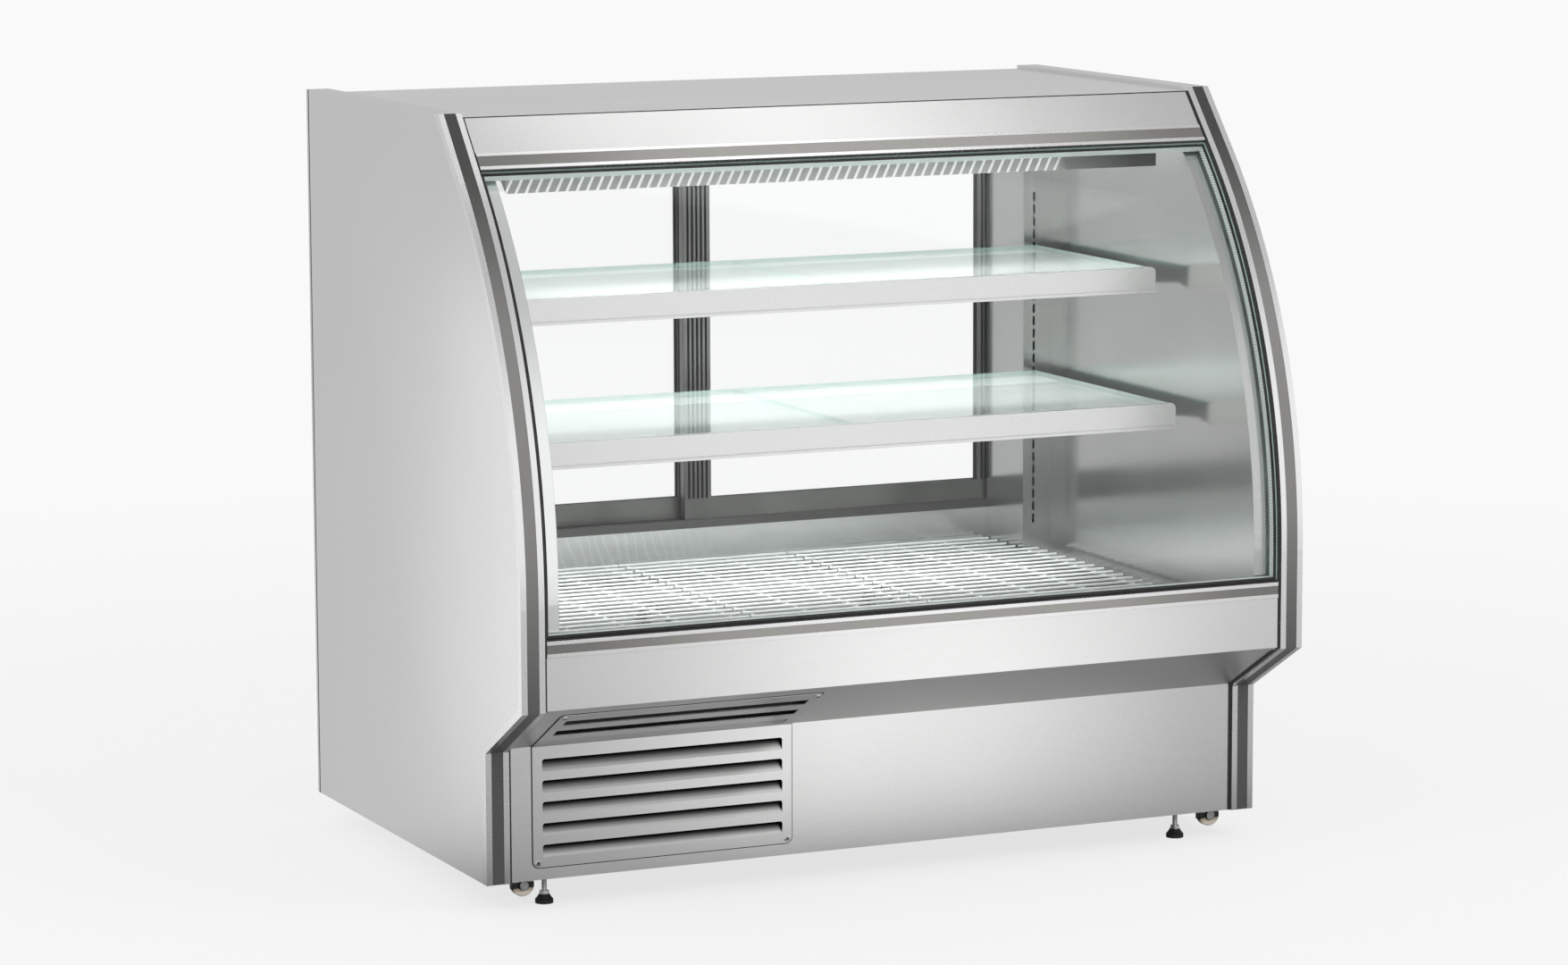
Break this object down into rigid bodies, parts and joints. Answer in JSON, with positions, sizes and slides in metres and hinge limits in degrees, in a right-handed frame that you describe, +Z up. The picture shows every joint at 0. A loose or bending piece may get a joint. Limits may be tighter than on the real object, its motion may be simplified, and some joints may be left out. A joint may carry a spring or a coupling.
{
  "type": "refrigerated display case",
  "caption": "Curved-glass refrigerated counter with glass shelves, wire racks over a cold tub, louvred base and rear sliding doors.",
  "frame": {"origin": "centre of the overall box at floor level", "axes": "+X along the case to the customer's right, -Y towards the customer at the glass front, +Z up"},
  "size_m": [1.32, 0.922, 1.2],
  "materials": {
    "galvanised_steel": "galvanised, satin",
    "roller_nylon": "moulded nylon, satin",
    "foot_rubber": "black rubber pad on a bright threaded stem",
    "side_steel": "fine satin stainless",
    "liner_steel": "satin stainless",
    "trim_aluminium": "satin anodised",
    "dark_insert": "satin dark grey",
    "foam": "rigid foam",
    "front_steel": "horizontally brushed stainless",
    "bright_fastener": "polished",
    "clear_glass": "polished clear",
    "shelf_glass": "polished, green edges",
    "spacer_aluminium": "perforated mill finish",
    "black_gasket": "matte",
    "dark_aluminium": "dark anodised",
    "shelf_steel": "brushed stainless",
    "light_aluminium": "satin with opal strip",
    "white_wire": "white plastic coated wire",
    "coil_fins": "thin fins",
    "black_plastic": "moulded",
    "black_shell": "satin black enamel",
    "copper": "bright drawn copper",
    "cowl_aluminium": "mill finish"
  },
  "bodies": {
    "case": {"base_frame": "galvanised_steel", "canopy_fascia": "front_steel", "compressor": "black_shell", "condensate_pan": "black_plastic", "condenser_coil": "coil_fins", "condenser_shroud": "galvanised_steel", "corner_columns": "liner_steel", "dark_inserts": "dark_insert", "door_frame": "dark_aluminium", "edge_trim_left": "trim_aluminium", "edge_trim_right": "trim_aluminium", "electrical_box": "black_plastic", "end_liners": "liner_steel", "end_skin_left": "side_steel", "end_skin_right": "side_steel", "evaporator_coil": "coil_fins", "evaporator_cowl": "cowl_aluminium", "front_grille": "front_steel", "glass_gaskets": "black_gasket", "glass_inner": "clear_glass", "glass_outer": "clear_glass", "glass_spacer": "spacer_aluminium", "glazing_bar_bottom": "trim_aluminium", "glazing_bar_top": "trim_aluminium", "grille_screws": "bright_fastener", "insulation": "foam", "led_light": "light_aluminium", "lower_front_panel": "front_steel", "nose_panel": "front_steel", "pipework": "copper", "rear_access_panel": "front_steel", "rear_header": "liner_steel", "rear_wall": "liner_steel", "roller_hardware": "galvanised_steel", "shelf_brackets": "shelf_steel", "shelf_glass": "shelf_glass", "shelf_lips": "shelf_steel", "shelf_standards": "liner_steel", "tank_liner": "liner_steel", "top_panel": "front_steel"},
    "roller_front_left": {"roller_front_left": "roller_nylon"},
    "foot_front_left": {"foot_front_left": "foot_rubber"},
    "roller_front_right": {"roller_front_right": "roller_nylon"},
    "foot_front_right": {"foot_front_right": "foot_rubber"},
    "roller_rear_left": {"roller_rear_left": "roller_nylon"},
    "foot_rear_left": {"foot_rear_left": "foot_rubber"},
    "roller_rear_right": {"roller_rear_right": "roller_nylon"},
    "foot_rear_right": {"foot_rear_right": "foot_rubber"},
    "door_left": {"door_left_frame": "dark_aluminium", "door_left_glass": "clear_glass"},
    "door_right": {"door_right_frame": "dark_aluminium", "door_right_glass": "clear_glass"},
    "rack_left": {"rack_left": "white_wire"},
    "rack_centre": {"rack_centre": "white_wire"},
    "rack_right": {"rack_right": "white_wire"},
    "condenser_fan": {"condenser_fan": "black_plastic"},
    "evaporator_fan_left": {"evaporator_fan_left": "black_plastic"},
    "evaporator_fan_right": {"evaporator_fan_right": "black_plastic"},
    "thermostat_knob": {"thermostat_knob": "black_plastic"},
    "light_switch": {"light_switch": "black_plastic"}
  },
  "joints": [
    {"name": "roller_front_left_spin", "type": "hinge", "parent": "case", "child": "roller_front_left", "pos_m": [-0.593, -0.2815, 0.038], "axis": [0, 1, 0], "continuous": true},
    {"name": "foot_front_left_height", "type": "slide", "parent": "case", "child": "foot_front_left", "axis": [0, 0, 1], "range_m": [-0.015, 0.02]},
    {"name": "roller_front_right_spin", "type": "hinge", "parent": "case", "child": "roller_front_right", "pos_m": [0.593, -0.2815, 0.038], "axis": [0, 1, 0], "continuous": true},
    {"name": "foot_front_right_height", "type": "slide", "parent": "case", "child": "foot_front_right", "axis": [0, 0, 1], "range_m": [-0.015, 0.02]},
    {"name": "roller_rear_left_spin", "type": "hinge", "parent": "case", "child": "roller_rear_left", "pos_m": [-0.593, 0.4385, 0.038], "axis": [0, 1, 0], "continuous": true},
    {"name": "foot_rear_left_height", "type": "slide", "parent": "case", "child": "foot_rear_left", "axis": [0, 0, 1], "range_m": [-0.015, 0.02]},
    {"name": "roller_rear_right_spin", "type": "hinge", "parent": "case", "child": "roller_rear_right", "pos_m": [0.593, 0.4385, 0.038], "axis": [0, 1, 0], "continuous": true},
    {"name": "foot_rear_right_height", "type": "slide", "parent": "case", "child": "foot_rear_right", "axis": [0, 0, 1], "range_m": [-0.015, 0.02]},
    {"name": "door_left_slide", "type": "slide", "parent": "case", "child": "door_left", "axis": [1, 0, 0], "range_m": [0, 0.545]},
    {"name": "door_right_slide", "type": "slide", "parent": "case", "child": "door_right", "axis": [1, 0, 0], "range_m": [-0.545, 0]},
    {"name": "rack_left_lift", "type": "slide", "parent": "case", "child": "rack_left", "axis": [0, 0, 1], "range_m": [0, 0.15]},
    {"name": "rack_centre_lift", "type": "slide", "parent": "case", "child": "rack_centre", "axis": [0, 0, 1], "range_m": [0, 0.15]},
    {"name": "rack_right_lift", "type": "slide", "parent": "case", "child": "rack_right", "axis": [0, 0, 1], "range_m": [0, 0.15]},
    {"name": "condenser_fan_spin", "type": "hinge", "parent": "case", "child": "condenser_fan", "pos_m": [-0.37, -0.149, 0.161], "axis": [0, 1, 0], "continuous": true},
    {"name": "evaporator_fan_left_spin", "type": "hinge", "parent": "case", "child": "evaporator_fan_left", "pos_m": [-0.2, 0.143, 0.3462], "axis": [0, 1, 0], "continuous": true},
    {"name": "evaporator_fan_right_spin", "type": "hinge", "parent": "case", "child": "evaporator_fan_right", "pos_m": [0.2, 0.143, 0.3462], "axis": [0, 1, 0], "continuous": true},
    {"name": "thermostat_turn", "type": "hinge", "parent": "case", "child": "thermostat_knob", "pos_m": [0.33, 0.449, 0.197], "axis": [0, 1, 0], "range_deg": [0, 270]},
    {"name": "light_switch_rock", "type": "hinge", "parent": "case", "child": "light_switch", "pos_m": [0.425, 0.4418, 0.197], "axis": [1, 0, 0], "range_deg": [-16, 0]}
  ]
}
